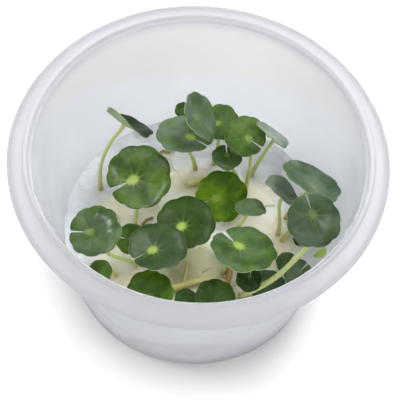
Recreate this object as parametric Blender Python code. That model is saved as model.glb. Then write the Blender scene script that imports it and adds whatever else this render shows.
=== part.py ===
"""Pennywort growing on nutrient gel in a round plastic tissue culture cup.

Metres, +Z up. The origin is the centre of the foot, on the surface that the cup stands on.
The thin-walled cup is turned from one profile, and the gel fills the bottom of the same profile.
Each leaf is a blade on a petiole that rises from the gel. Blades are placed lowest first, and each one
is raised until it clears the ones below it. Petioles then grow from their roots round what is in the way.
"""
import math
from collections import namedtuple

import bmesh
import bpy
from mathutils import Matrix, Vector
from mathutils.bvhtree import BVHTree
from mathutils.geometry import interpolate_bezier

# Cup
CUP_HEIGHT = 0.0603
FOOT_RADIUS = 0.0352  # outside of the wall, carried down to the foot
MOUTH_RADIUS = 0.0453  # outside of the wall, carried up to the lip
WALL = 0.0008
RIM_RADIUS = 0.0500
RIM_DROP = 0.0038  # lip down to the free edge of the rolled rim
RIM_ROLL = 0.0022  # height of the rounded part of the rim
BEAD_HEIGHT = 0.0006  # the narrow flat lip that a lid seals on
BEAD_WIDTH = 0.0011
HEEL_RADIUS = 0.0025  # inside, between floor and wall
FOOT_RING_WIDTH = 0.0022
FOOT_RECESS = 0.0008
TURNING_STEPS = 44
SHARP_ANGLE = math.radians(35)  # steeper edges than this look sharp

# Gel
GEL_TOP = 0.0200
MENISCUS = 0.0006  # how far the gel climbs the wall
MENISCUS_WIDTH = 0.0024

# Leaves
LEAF_RADIUS = 0.0093  # the largest blade
LEAF_THICKNESS = 0.00035
CANOPY_HEIGHT = 0.0280  # gel surface to the highest petiole's top
BLADE_SHIFT = 0.18  # the petiole joins this share of a radius nearer the notch
NOTCH_DEPTH = 0.14  # the notch stops this share of a radius short of the petiole
NOTCH_HALF_ANGLE = math.radians(8)
SCALLOP_DEPTH = 0.075
DISH = 0.20  # dish, droop, ripple and fold width are shares of a radius
DROOP = 0.16
RIPPLE = 0.05
FOLD_WIDTH = 0.10
LARGE_LEAF_LOBES = 9
SMALL_LEAF_LOBES = 7
SMALL_LEAF = 0.57

# Stems
PETIOLE_RADIUS = 0.00058
PETIOLE_NECK = 0.0010  # the straight end under the blade
PETIOLE_RISE = 0.45  # share of its length that a petiole heads straight up from the gel
PETIOLE_HANG = 0.30  # share of its length that it heads straight down from the blade
PETIOLE_POINTS = 6
PATH_DETAIL = 4  # finer steps between those points, to see what is in the way
STEPS_ASIDE = (0.0012, 0.0024, 0.0036)  # how far a root may move to clear what is in the way
MOST_BOW = 6  # tenths
RUNNER_RADIUS = 0.00090
RUNNER_POINTS = 9
STEM_TAPER = 0.80

# Fits
GAP = 0.0003
LEAF_CLEARANCE = 0.0007  # between the faces of two blades, or of a blade and a stem
RAISE_STEP = 0.0004
SHRINK_STEP = 0.985
SETTLE_STEPS = 300

# A leaf's place: east, north and root are shares of the gel's radius, height is a share of the canopy's,
# and size is a share of the largest blade. Angles are degrees, anticlockwise from east.
# fold bends the two halves of a blade up from the line of its notch, or down where it is negative.
# bow is how far the petiole swings sideways, as a share of its length, unless something is in its way.
Leaf = namedtuple("Leaf", "east north height size lean lean_to notch_to fold root_east root_north bow")
LEAVES = [
    Leaf(0.42, -0.55, 0.33, 0.40, 15, -90, 80, 0.00, 0.35, -0.44, 0.1),
    Leaf(0.71, -0.34, 0.20, 0.34, 10, -90, 45, 0.05, 0.66, -0.26, 0.1),
    Leaf(0.16, 0.17, 0.21, 0.83, 32, -90, 205, 0.03, 0.17, 0.18, 0.0),
    Leaf(-0.03, -0.74, 0.25, 0.34, 20, -90, -90, 0.00, -0.02, -0.66, 0.1),
    Leaf(-0.48, -0.27, 0.29, 0.49, 20, -90, 175, 0.05, -0.41, -0.21, 0.1),
    Leaf(0.18, -0.74, 0.29, 0.60, 10, -90, -90, 0.00, 0.20, -0.62, 0.1),
    Leaf(-0.29, -0.74, 0.30, 0.71, 16, -90, -90, 0.00, -0.25, -0.66, 0.1),
    Leaf(0.585, -0.505, 0.10, 0.56, 6, -60, 45, 0.05, 0.56, -0.53, 0.1),
    Leaf(-0.65, -0.61, 0.39, 0.37, 15, -90, -60, 0.05, -0.56, -0.47, 0.1),
    Leaf(-0.09, -0.20, 0.45, 0.90, 6, -90, -135, 0.04, -0.10, -0.22, 0.1),
    Leaf(0.79, -0.44, 0.26, 0.44, 14, -120, 45, 0.10, 0.76, -0.32, 0.2),
    Leaf(0.21, 0.40, 0.54, 0.49, 6, 90, 95, 0.10, 0.33, 0.36, 0.1),
    Leaf(-0.47, 0.12, 0.57, 1.00, 28, -95, 212, 0.03, -0.46, -0.08, 0.1),
    Leaf(0.38, -0.07, 0.57, 0.48, 24, 90, 175, 0.10, 0.33, -0.03, 0.1),
    Leaf(-0.28, -0.49, 0.64, 0.87, 4, 90, 215, 0.08, -0.31, -0.35, 0.1),
    Leaf(0.65, 0.045, 0.64, 0.64, 42, 30, 5, 0.15, 0.64, -0.03, 0.1),
    Leaf(0.13, 0.63, 0.66, 0.58, 25, -80, 200, 0.05, 0.12, 0.58, 0.1),
    Leaf(-0.735, -0.395, 0.68, 0.81, 18, -150, 178, 0.12, -0.42, -0.37, -0.3),
    Leaf(0.33, -0.44, 0.68, 1.00, 22, 80, 128, 0.05, 0.24, -0.38, 0.1),
    Leaf(0.84, 0.05, 0.80, 0.97, 34, 42, -62, 0.15, 0.70, 0.12, 0.1),
    Leaf(0.36, 0.46, 0.75, 0.65, 24, -90, -35, 0.05, 0.38, 0.37, 0.1),
    Leaf(-0.57, 0.50, 0.79, 0.80, 55, 58, 122, 0.34, -0.75, 0.28, -0.1),
    Leaf(-0.08, 0.42, 0.78, 0.90, 12, 95, -35, 0.04, -0.02, 0.52, 0.1),
    Leaf(0.88, -0.34, 1.07, 0.81, 18, -75, 112, -0.20, 0.67, -0.08, -0.4),
    Leaf(0.51, 0.44, 0.89, 0.60, 46, 46, 130, 0.05, 0.41, 0.49, 0.1),
    Leaf(-0.03, 0.45, 1.08, 0.80, 48, 0, 200, 0.12, -0.20, 0.66, 0.1),
]

# Creeping stems: each point is east and north as shares of the gel's radius, then the height of the
# stem's underside above the gel as a share of the canopy's.
RUNNER_FRONT = [(-0.20, -0.60, 0.0), (-0.08, -0.54, 0.0), (0.10, -0.48, 0.0), (0.26, -0.49, 0.0)]
RUNNER_BACK = [(-0.08, 0.36, 0.0), (0.04, 0.39, 0.0), (0.16, 0.40, 0.0), (0.27, 0.30, 0.0), (0.42, 0.20, 0.0)]
RUNNER_RIGHT = [
    (0.37, -0.59, 0.0),
    (0.44, -0.60, 0.14),
    (0.56, -0.57, 0.28),
    (0.67, -0.51, 0.42),
    (0.84, -0.36, 0.60),
]

LEAF_GREEN = (0.060, 0.130, 0.028)
YOUNG_GREEN = (0.090, 0.190, 0.030)
PETIOLE_GREEN = (0.300, 0.390, 0.130)
RUNNER_OLIVE = (0.330, 0.330, 0.110)
GEL_BEIGE = (0.560, 0.520, 0.420)
CUP_WHITE = (0.800, 0.830, 0.860)


def clear_scene():
    """Remove whatever the file opened with."""
    for thing in list(bpy.data.objects):
        bpy.data.objects.remove(thing, do_unlink=True)


def material(name, colour, roughness):
    """Return a plain Principled material."""
    made = bpy.data.materials.new(name)
    made.use_nodes = True
    shader = made.node_tree.nodes["Principled BSDF"]
    shader.inputs["Base Color"].default_value = (*colour, 1.0)
    shader.inputs["Roughness"].default_value = roughness
    shader.inputs["Metallic"].default_value = 0.0
    return made


def add_object(name, data, finish):
    """Put a mesh or a curve in the scene under its own name."""
    data.materials.append(finish)
    thing = bpy.data.objects.new(name, data)
    bpy.context.scene.collection.objects.link(thing)
    return thing


# The cup's shape, from which the gel and the leaves take their room


def outer_radius(height):
    """Return the radius of the wall's outside at a height."""
    return FOOT_RADIUS + (MOUTH_RADIUS - FOOT_RADIUS) * height / CUP_HEIGHT


def inner_radius(height):
    """Return the radius of the wall's inside at a height."""
    return outer_radius(height) - WALL


def arc(centre_x, centre_z, radius_x, radius_z, start, end, steps):
    """Return points along part of an ellipse, with angles in degrees."""
    points = []
    for step in range(steps + 1):
        angle = math.radians(start + (end - start) * step / steps)
        points.append((centre_x + radius_x * math.cos(angle), centre_z + radius_z * math.sin(angle)))
    return points


def inside_profile(top, gap):
    """Return the cup's inside from the middle of the floor up to a height, moved in by a gap."""
    floor = FOOT_RECESS + WALL
    heel_top = floor + HEEL_RADIUS
    heel_centre = inner_radius(heel_top) - HEEL_RADIUS
    heel = arc(heel_centre, heel_top, HEEL_RADIUS - gap, HEEL_RADIUS - gap, -90, 0, 2)
    return [(0.0, floor + gap)] + heel + [(inner_radius(top) - gap, top)]


def cup_profile():
    """Return the cup's half section, once round from the middle of the underside."""
    heel_radius = HEEL_RADIUS + WALL
    heel_centre = outer_radius(heel_radius) - heel_radius
    ring_inside = heel_centre - FOOT_RING_WIDTH
    roll_top = CUP_HEIGHT - BEAD_HEIGHT
    roll_centre_z = roll_top - RIM_ROLL
    bead_inside = inner_radius(CUP_HEIGHT)
    bead_outside = bead_inside + BEAD_WIDTH
    roll_width = RIM_RADIUS - bead_outside
    underside = [(0.0, FOOT_RECESS), (ring_inside - FOOT_RECESS, FOOT_RECESS), (ring_inside, 0.0)]
    heel = arc(heel_centre, heel_radius, heel_radius, heel_radius, -90, 0, 2)
    wall_top = [(outer_radius(roll_top - WALL), roll_top - WALL)]
    roll_under = arc(bead_outside, roll_centre_z, roll_width - WALL, RIM_ROLL - WALL, 60, 0, 1)
    free_edge = [(RIM_RADIUS - WALL, CUP_HEIGHT - RIM_DROP), (RIM_RADIUS, CUP_HEIGHT - RIM_DROP)]
    roll_over = arc(bead_outside, roll_centre_z, roll_width, RIM_ROLL, 0, 90, 3)
    lip = [(bead_outside, CUP_HEIGHT)]
    inside = list(reversed(inside_profile(CUP_HEIGHT, 0.0)))
    return underside + heel + wall_top + roll_under + free_edge + roll_over + lip + inside


def turned(name, profile, finish):
    """Turn a half section about the cup's axis."""
    build = bmesh.new()
    corners = [build.verts.new((x, 0.0, z)) for x, z in profile]
    edges = [build.edges.new(pair) for pair in zip(corners, corners[1:])]
    bmesh.ops.spin(
        build,
        geom=corners + edges,
        cent=(0.0, 0.0, 0.0),
        axis=(0.0, 0.0, 1.0),
        angle=math.tau,
        steps=TURNING_STEPS,
        use_merge=True,
    )
    bmesh.ops.remove_doubles(build, verts=build.verts, dist=1e-6)
    bmesh.ops.recalc_face_normals(build, faces=build.faces)
    mesh = bpy.data.meshes.new(name)
    build.to_mesh(mesh)
    build.free()
    mesh.shade_smooth()
    mesh.set_sharp_from_angle(angle=SHARP_ANGLE)
    return add_object(name, mesh, finish)


def make_cup():
    """Turn the thin-walled cup with its recessed foot and rolled rim."""
    return turned("cup", cup_profile(), material("frosted plastic", CUP_WHITE, 0.35))


def make_gel():
    """Turn the gel that fills the bottom of the cup, with its raised edge."""
    edge_height = GEL_TOP + MENISCUS
    surface = [(inner_radius(GEL_TOP) - MENISCUS_WIDTH, GEL_TOP), (0.0, GEL_TOP)]
    profile = inside_profile(edge_height, GAP) + surface
    return turned("gel", profile, material("nutrient gel", GEL_BEIGE, 0.30))


# The blade of a leaf


def direction(heading, lean):
    """Return the unit vector that leans from upright toward a heading, both in degrees."""
    heading = math.radians(heading)
    lean = math.radians(lean)
    return Vector((math.sin(lean) * math.cos(heading), math.sin(lean) * math.sin(heading), math.cos(lean)))


def lobe_count(leaf):
    """Return how many scallops a blade has."""
    return SMALL_LEAF_LOBES if leaf.size < SMALL_LEAF else LARGE_LEAF_LOBES


def blade_height(x, y, radius, fold):
    """Return how far a blade's upper face stands above its middle."""
    reach = math.hypot(x, y) / radius
    ripple = RIPPLE * reach**2 * math.cos(3 * math.atan2(y, x) + radius / LEAF_RADIUS * math.tau)
    halves = fold * (math.hypot(y / radius, FOLD_WIDTH) - FOLD_WIDTH)
    return radius * (DISH * reach**2 - DROOP * reach**4 + halves + ripple)


def blade_outline(leaf):
    """Return the scalloped edge as points round the petiole, from one side of the notch to the other."""
    radius = leaf.size * LEAF_RADIUS
    shift = BLADE_SHIFT * radius
    steps = 3 * lobe_count(leaf)
    points = []
    for step in range(steps + 1):
        angle = (math.pi - NOTCH_HALF_ANGLE) * (2 * step / steps - 1)
        reach = shift * math.cos(angle) + math.sqrt(radius**2 - (shift * math.sin(angle)) ** 2)
        if step % 3 == 0:
            reach *= 1 - SCALLOP_DEPTH
        points.append((reach * math.cos(angle), reach * math.sin(angle)))
    return points


def blade_sheet(leaf):
    """Return the corners and faces of a blade's upper face, with the notch toward -X."""
    radius = leaf.size * LEAF_RADIUS
    edge = blade_outline(leaf)
    flat = [(0.0, 0.0), (-NOTCH_DEPTH * radius, 0.0)]
    flat += [(0.5 * x, 0.5 * y) for x, y in edge]
    flat += edge
    count = len(edge)
    faces = [(0, 1, 2), (0, 1 + count, 1)]
    for step in range(count - 1):
        middle = 2 + step
        rim = middle + count
        faces.append((0, middle, middle + 1))
        faces.append((middle, rim, rim + 1, middle + 1))
    corners = [Vector((x, y, blade_height(x, y, radius, leaf.fold))) for x, y in flat]
    return corners, faces


def blade_pose(leaf, middle):
    """Return the matrix that stands a blade on its petiole."""
    up = direction(leaf.lean_to, leaf.lean)
    notch = direction(leaf.notch_to, 90)
    along = -(notch - up * notch.dot(up)).normalized()
    across = up.cross(along)
    turn = Matrix((along, across, up)).transposed()
    return Matrix.Translation(middle) @ turn.to_4x4()


class Placed:
    """A blade where it stands, with what other pieces need to keep clear of it."""

    def __init__(self, leaf, middle):
        corners, self.faces = blade_sheet(leaf)
        self.pose = blade_pose(leaf, middle)
        self.corners = [self.pose @ corner for corner in corners]
        self.tree = BVHTree.FromPolygons(self.corners, self.faces)
        self.samples = list(self.corners)
        for face in self.faces:
            ring = [self.corners[index] for index in face]
            self.samples.append(sum(ring, Vector()) / len(ring))
            self.samples += [(a + b) / 2 for a, b in zip(ring, ring[1:])]

    def near(self, point, distance):
        """Say whether the blade lies within a distance of a point."""
        return self.tree.find_nearest(point, distance)[0] is not None

    def meets(self, other):
        """Say whether another blade comes too close to this one."""
        distance = LEAF_THICKNESS + LEAF_CLEARANCE
        if self.tree.overlap(other.tree):
            return True
        if any(other.near(point, distance) for point in self.samples):
            return True
        return any(self.near(point, distance) for point in other.samples)

    def crosses(self, stems):
        """Say whether the blade comes too close to a stem."""
        for path, radius in stems:
            distance = radius + LEAF_THICKNESS + LEAF_CLEARANCE
            if any(self.near(point, distance) for point in path):
                return True
        return False

    def outside_wall(self):
        """Say whether the blade reaches the cup's wall."""
        margin = LEAF_THICKNESS + 2 * GAP
        return any(point.xy.length > inner_radius(point.z) - margin for point in self.corners)

    def too_low(self):
        """Say whether the blade reaches the gel."""
        return min(point.z for point in self.corners) < GEL_TOP + LEAF_THICKNESS + LEAF_CLEARANCE


def settle(leaf, placed, stems):
    """Place a blade inside the wall, above the gel and above the blades and stems that it would touch."""
    reach = inner_radius(GEL_TOP)
    middle = Vector((leaf.east * reach, leaf.north * reach, GEL_TOP + leaf.height * CANOPY_HEIGHT))
    blade = Placed(leaf, middle)
    for _ in range(SETTLE_STEPS):
        if blade.outside_wall():
            middle = Vector((middle.x * SHRINK_STEP, middle.y * SHRINK_STEP, middle.z))
        elif blade.too_low() or blade.crosses(stems) or any(blade.meets(other) for other in placed):
            middle = middle + Vector((0.0, 0.0, RAISE_STEP))
        else:
            break
        blade = Placed(leaf, middle)
    return blade


def make_blade(name, leaf, blade, finish):
    """Give a blade's upper face its thickness."""
    corners, faces = blade_sheet(leaf)
    mesh = bpy.data.meshes.new(name)
    mesh.from_pydata(corners, [], faces)
    mesh.shade_smooth()
    thing = add_object(name, mesh, finish)
    thing.matrix_world = blade.pose
    thickness = thing.modifiers.new("Thickness", "SOLIDIFY")
    thickness.thickness = LEAF_THICKNESS
    thickness.offset = -1.0
    return thing


# The stems


def smooth_path(start, start_handle, end_handle, end, count):
    """Return evenly numbered points along a curve with two handles."""
    return [Vector(point) for point in interpolate_bezier(start, start_handle, end_handle, end, count)]


def petiole_path(leaf, blade, step_aside, bow):
    """Return points from the gel up to the underside of a blade, meeting both squarely."""
    reach = inner_radius(GEL_TOP)
    root = Vector((leaf.root_east * reach, leaf.root_north * reach, GEL_TOP + GAP)) + step_aside
    up = blade.pose.to_3x3().col[2]
    tip = blade.pose.translation - up * (LEAF_THICKNESS + GAP)
    neck = tip - up * PETIOLE_NECK
    length = (neck - root).length
    sideways = (neck - root).cross(Vector((0.0, 0.0, 1.0)))
    if sideways.length < RAISE_STEP:
        sideways = Vector((1.0, 0.0, 0.0))
    sideways = sideways.normalized() * bow * length
    start_handle = root + Vector((0.0, 0.0, PETIOLE_RISE * length)) + sideways / 2
    end_handle = neck - up * PETIOLE_HANG * length + sideways
    count = PATH_DETAIL * (PETIOLE_POINTS - 1) + 1
    return smooth_path(root, start_handle, end_handle, neck, count) + [tip]


def path_is_clear(path, radius, blades, stems):
    """Say whether a stem along a path would clear the wall, the gel, the blades and the other stems."""
    for point in path[2:]:
        if point.z < GEL_TOP + radius + GAP:
            return False
    for point in path:
        if point.xy.length > inner_radius(point.z) - radius - LEAF_CLEARANCE:
            return False
        if any(blade.near(point, radius + LEAF_THICKNESS + LEAF_CLEARANCE) for blade in blades):
            return False
        for other_path, other_radius in stems:
            room = radius + other_radius + GAP
            if any((point - other).length < room for other in other_path):
                return False
    return True


def grow_petiole(leaf, blade, blades, stems):
    """Choose the straightest petiole that clears everything, stepping its root aside where it must."""
    others = [other for other in blades if other is not blade]
    steps_aside = [Vector()]
    for distance in STEPS_ASIDE:
        for heading in range(0, 360, 45):
            steps_aside.append(direction(heading, 90) * distance)
    bows = [tenths / 10 for tenths in range(-MOST_BOW, MOST_BOW + 1)]
    bows.sort(key=lambda bow: abs(bow - leaf.bow))
    for step_aside in steps_aside:
        for bow in [leaf.bow] + bows:
            path = petiole_path(leaf, blade, step_aside, bow)
            own_stretch = path[:-PATH_DETAIL]
            below_blade = not any(blade.near(point, PETIOLE_RADIUS + LEAF_THICKNESS) for point in own_stretch)
            if below_blade and path_is_clear(path, PETIOLE_RADIUS, others, stems):
                return path
    return petiole_path(leaf, blade, Vector(), leaf.bow)


def make_stem(name, path, radius, taper, finish):
    """Run a round stem along a path, thinner toward its end."""
    curve = bpy.data.curves.new(name, "CURVE")
    curve.dimensions = "3D"
    curve.bevel_depth = radius
    curve.bevel_resolution = 1
    curve.use_fill_caps = True
    spline = curve.splines.new("POLY")
    spline.points.add(len(path) - 1)
    for index, point in enumerate(path):
        spline.points[index].co = (*point, 1.0)
        spline.points[index].radius = 1 - (1 - taper) * index / (len(path) - 1)
    spline.use_smooth = True
    return add_object(name, curve, finish)


def runner_path(places, count):
    """Return points along a smooth creeping stem through its chosen places."""
    reach = inner_radius(GEL_TOP)
    knots = []
    for east, north, height in places:
        rest = GEL_TOP + GAP + RUNNER_RADIUS
        knots.append(Vector((east * reach, north * reach, rest + height * CANOPY_HEIGHT)))
    ends = [2 * knots[0] - knots[1]] + knots + [2 * knots[-1] - knots[-2]]
    path = []
    for before, start, end, after in zip(ends, ends[1:], ends[2:], ends[3:]):
        span = smooth_path(start, start + (end - before) / 6, end - (after - start) / 6, end, count)
        path += span[:-1]
    path.append(knots[-1])
    return path


def make_runner(name, places, stems, finish):
    """Lay a creeping stem on the gel and note its path for the petioles."""
    path = runner_path(places, 1 + RUNNER_POINTS // (len(places) - 1))
    stems.append((runner_path(places, RUNNER_POINTS), RUNNER_RADIUS))
    return make_stem(name, path, RUNNER_RADIUS, STEM_TAPER, finish)


def main():
    """Build the cup, the gel and the plant."""
    clear_scene()
    make_cup()
    make_gel()
    stems = []
    olive = material("creeping stem", RUNNER_OLIVE, 0.50)
    make_runner("runner_front", RUNNER_FRONT, stems, olive)
    make_runner("runner_back", RUNNER_BACK, stems, olive)
    make_runner("runner_right", RUNNER_RIGHT, stems, olive)
    blades = []
    for leaf in LEAVES:
        blades.append(settle(leaf, blades, stems))
    old_leaf = material("leaf", LEAF_GREEN, 0.45)
    young_leaf = material("young leaf", YOUNG_GREEN, 0.45)
    stalk = material("petiole", PETIOLE_GREEN, 0.50)
    for number, (leaf, blade) in enumerate(zip(LEAVES, blades), start=1):
        green = young_leaf if leaf.size < SMALL_LEAF else old_leaf
        make_blade(f"leaf_{number:02d}", leaf, blade, green)
        path = grow_petiole(leaf, blade, blades, stems)
        stems.append((path, PETIOLE_RADIUS))
        knots = path[:-1:PATH_DETAIL] + path[-1:]
        make_stem(f"petiole_{number:02d}", knots, PETIOLE_RADIUS, STEM_TAPER, stalk)


main()
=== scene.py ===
# %% [markdown]
# Pennywort in a tissue culture cup.
# The model is a small water plant that a laboratory grows on clear nutrient gel, in a round plastic
# cup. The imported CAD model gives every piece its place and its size. This lesson dresses it: each
# piece is modelled again with a finer surface and gets a material of its own, and then it is lit.

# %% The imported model
import math

import bmesh
import bpy
from mathutils import Matrix, Vector, noise


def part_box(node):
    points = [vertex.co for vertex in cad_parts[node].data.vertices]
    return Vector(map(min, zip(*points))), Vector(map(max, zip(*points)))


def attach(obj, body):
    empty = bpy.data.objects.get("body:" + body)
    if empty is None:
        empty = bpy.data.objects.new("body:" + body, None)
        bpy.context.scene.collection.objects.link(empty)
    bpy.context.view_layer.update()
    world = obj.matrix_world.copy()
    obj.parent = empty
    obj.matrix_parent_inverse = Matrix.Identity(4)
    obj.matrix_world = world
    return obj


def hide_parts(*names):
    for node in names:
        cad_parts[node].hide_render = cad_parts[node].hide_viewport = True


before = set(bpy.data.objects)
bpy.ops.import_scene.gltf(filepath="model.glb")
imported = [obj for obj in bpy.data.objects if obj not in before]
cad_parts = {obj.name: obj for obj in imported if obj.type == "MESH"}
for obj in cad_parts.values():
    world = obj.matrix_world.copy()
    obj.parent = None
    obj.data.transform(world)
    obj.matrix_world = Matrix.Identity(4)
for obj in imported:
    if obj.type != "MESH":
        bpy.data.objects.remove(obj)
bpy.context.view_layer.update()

print("CAD nodes:", len(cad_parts))

# %% [markdown]
# The camera looks down into the cup from the front, at 59 degrees above the table. A long lens from
# about 30 cm away keeps the round rim nearly a true ellipse. The view is turned by a few degrees,
# because the picture was taken by hand. The small shift centres the cup as the photograph does.

# %% Camera
ELEVATION = math.radians(59.1)
DISTANCE = 0.320
ROLL = math.radians(3.6)
AIM = Vector((0.0, 0.0, 0.030))
FOCAL_LENGTH = 101.97
SHIFT = (0.01075, 0.02025)

back = Vector((0.0, -math.cos(ELEVATION), math.sin(ELEVATION)))
level_up = Vector((0.0, math.sin(ELEVATION), math.cos(ELEVATION)))
level_right = Vector((1.0, 0.0, 0.0))
up = level_up * math.cos(ROLL) - level_right * math.sin(ROLL)
right = level_right * math.cos(ROLL) + level_up * math.sin(ROLL)

bpy.ops.object.select_all(action="DESELECT")
bpy.ops.object.camera_add()
camera = bpy.context.object
camera.name = "camera"
turned_to_cup = Matrix((right, up, back)).transposed().to_4x4()
camera.matrix_world = Matrix.Translation(AIM + back * DISTANCE) @ turned_to_cup
camera.data.sensor_width = 36.0
camera.data.lens = FOCAL_LENGTH
camera.data.shift_x, camera.data.shift_y = SHIFT
camera.data.clip_start = 0.01
camera.data.clip_end = 10.0
bpy.context.scene.camera = camera
print("camera at", [round(part, 3) for part in camera.location])

# %% [markdown]
# Every surface below is a material made of shader nodes. A few small helpers keep that readable:
# each adds one or two nodes, joins what it is given and returns the result, so that a material reads
# as a list of steps.

# %% Colours, materials and nodes
def colour(red, green, blue):
    """Return a linear colour from the three values that a colour picker shows, 0 to 255."""
    made = []
    for part in (red, green, blue):
        part = part / 255
        made.append(part / 12.92 if part <= 0.04045 else ((part + 0.055) / 1.055) ** 2.4)
    return (*made, 1.0)


def new_material(name):
    """Return an empty material with its shader and its output joined."""
    made = bpy.data.materials.new(name)
    made.use_nodes = True
    shader = made.node_tree.nodes["Principled BSDF"]
    return made, made.node_tree, shader


def add_node(tree, kind, **settings):
    """Add a shader node with its settings."""
    node = tree.nodes.new(kind)
    for name, value in settings.items():
        setattr(node, name, value)
    return node


def feed(tree, sockets, values):
    """Give each socket its value, which is another socket or a constant."""
    for socket, value in zip(sockets, values):
        if hasattr(value, "is_linked"):
            tree.links.new(value, socket)
        else:
            socket.default_value = value


def math_node(tree, operation, first, second=0.0, third=0.0, clamp=False):
    """Add a Math node and return its result."""
    node = add_node(tree, "ShaderNodeMath", operation=operation, use_clamp=clamp)
    feed(tree, node.inputs, (first, second, third))
    return node.outputs[0]


def mix_colours(tree, amount, first, second):
    """Add a Mix node for colours and return its result."""
    node = add_node(tree, "ShaderNodeMix", data_type="RGBA")
    feed(tree, (node.inputs[0], node.inputs[6], node.inputs[7]), (amount, first, second))
    return node.outputs[2]


# %% [markdown]
# Most patterns on the real pieces follow a place on them: a height, a distance from the middle, or
# an unevenness that has no rule. So the next helpers read a place, measure it, turn it into noise and
# map the result to the range that is wanted. Small relief goes into a bump.

# %% Places, noise and bumps
def ramp(tree, value, low, high, low_out=0.0, high_out=1.0):
    """Map a value smoothly from one range to another, and return the result."""
    node = add_node(tree, "ShaderNodeMapRange", interpolation_type="SMOOTHSTEP")
    for name, number in (("From Min", low), ("From Max", high), ("To Min", low_out), ("To Max", high_out)):
        node.inputs[name].default_value = number
    tree.links.new(value, node.inputs["Value"])
    return node.outputs["Result"]


def object_place(tree):
    """Return a point's place in the piece's own coordinates."""
    return add_node(tree, "ShaderNodeTexCoord").outputs["Object"]


def axes(tree, place):
    """Split a place into its three coordinates, which are read by letter."""
    node = add_node(tree, "ShaderNodeSeparateXYZ")
    tree.links.new(place, node.inputs[0])
    return node.outputs


def stretched(tree, place, scale):
    """Scale a place on each axis, and return it."""
    node = add_node(tree, "ShaderNodeMapping")
    node.inputs["Scale"].default_value = scale
    tree.links.new(place, node.inputs["Vector"])
    return node.outputs["Vector"]


def reach_of(tree, place, scale=(1.0, 1.0, 1.0), shift=(0.0, 0.0, 0.0)):
    """Return the length of a place that is first scaled and shifted."""
    moved = add_node(tree, "ShaderNodeVectorMath", operation="MULTIPLY_ADD")
    feed(tree, moved.inputs, (place, scale, shift))
    length = add_node(tree, "ShaderNodeVectorMath", operation="LENGTH")
    tree.links.new(moved.outputs[0], length.inputs[0])
    return length.outputs["Value"]


def speckle(tree, place, scale, detail=2.0, roughness=0.5):
    """Add a Noise texture at a place, and return its value."""
    node = add_node(tree, "ShaderNodeTexNoise")
    node.inputs["Scale"].default_value = scale
    node.inputs["Detail"].default_value = detail
    node.inputs["Roughness"].default_value = roughness
    tree.links.new(place, node.inputs["Vector"])
    return node.outputs["Fac"]


def bump(tree, height, distance, strength=1.0, before=None):
    """Add a Bump node, and return its normal."""
    node = add_node(tree, "ShaderNodeBump")
    node.inputs["Strength"].default_value = strength
    node.inputs["Distance"].default_value = distance
    tree.links.new(height, node.inputs["Height"])
    if before is not None:
        tree.links.new(before, node.inputs["Normal"])
    return node.outputs["Normal"]


# %% [markdown]
# The cup stands in a bright white room. The sky could be white for everything, but then it would be
# the only light. So it is white for the rays that look at it, straight, through the plastic or by
# reflection, and it lights the cup at about half that strength, which leaves room for the lamps.

# %% Sky
def backdrop_rays(tree):
    """Return 1 for the rays that look at the backdrop, and 0 for those that light something."""
    rays = add_node(tree, "ShaderNodeLightPath").outputs
    straight = math_node(tree, "ADD", rays["Is Camera Ray"], rays["Is Transmission Ray"], clamp=True)
    return math_node(tree, "ADD", straight, rays["Is Glossy Ray"], clamp=True)


SKY_LIGHT = 0.54
scene = bpy.context.scene
scene.view_settings.view_transform = "Standard"

world = bpy.data.worlds.new("white room")
world.use_nodes = True
scene.world = world
tree = world.node_tree
background = tree.nodes["Background"]
background.inputs["Color"].default_value = (1.0, 1.0, 1.0, 1.0)
strength = math_node(tree, "MULTIPLY_ADD", backdrop_rays(tree), 1.0 - SKY_LIGHT, SKY_LIGHT)
tree.links.new(strength, background.inputs["Strength"])
print("sky lights at", SKY_LIGHT)

# %% [markdown]
# A window behind the cup gives most of the light, and the room gives the rest from above and from
# the front. The shadows in the photograph are soft, so each lamp is a wide square. The high front
# lamp and the left lamp are the smallest, because they are what the wet blades mirror as glints.

# %% Lamps
LAMPS = [
    ("window lamp", (0.20, 0.28, 0.58), 0.26, 2.3),
    ("room lamp", (-0.05, -0.12, 0.70), 0.40, 0.7),
    ("high front lamp", (0.09, -0.35, 0.56), 0.13, 0.45),
    ("low front lamp", (0.0, -0.60, 0.16), 0.40, 0.35),
    ("left lamp", (-0.44, 0.01, 0.46), 0.13, 0.65),
]


def add_lamp(name, place, size, power):
    """Hang a square soft lamp and turn it toward the cup."""
    bpy.ops.object.light_add(type="AREA", location=place)
    lamp = bpy.context.object
    lamp.name = name
    lamp.data.size = size
    lamp.data.energy = power
    lamp.rotation_mode = "QUATERNION"
    lamp.rotation_quaternion = (Vector(place) - AIM).to_track_quat("Z", "Y")


for name, place, size, power in LAMPS:
    add_lamp(name, place, size, power)
print("lamps:", [name for name, place, size, power in LAMPS])

# %% [markdown]
# The table is a plain pale plane that keeps the cup's soft shadow. Past the shadow the photograph
# runs into white. More light would whiten the cup too, so the table glows a little instead, more
# with distance from the cup, and only for the rays that look at it.

# %% Floor
bpy.ops.mesh.primitive_plane_add(size=6.0, location=(0.0, 0.0, 0.0))
floor = bpy.context.object
floor.name = "floor"
finish, tree, shader = new_material("white table")
shader.inputs["Base Color"].default_value = (0.78, 0.78, 0.78, 1.0)
shader.inputs["Roughness"].default_value = 0.9
shader.inputs["Emission Color"].default_value = (1.0, 1.0, 1.0, 1.0)
apart = reach_of(tree, object_place(tree))
near_glow = ramp(tree, apart, 0.032, 0.048, 0.0, 0.34)
far_glow = ramp(tree, apart, 0.08, 0.50, 0.0, 0.30)
glow = math_node(tree, "MULTIPLY", backdrop_rays(tree), math_node(tree, "ADD", near_glow, far_glow))
tree.links.new(glow, shader.inputs["Emission Strength"])
floor.data.materials.append(finish)
print("floor:", floor.name)

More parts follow.
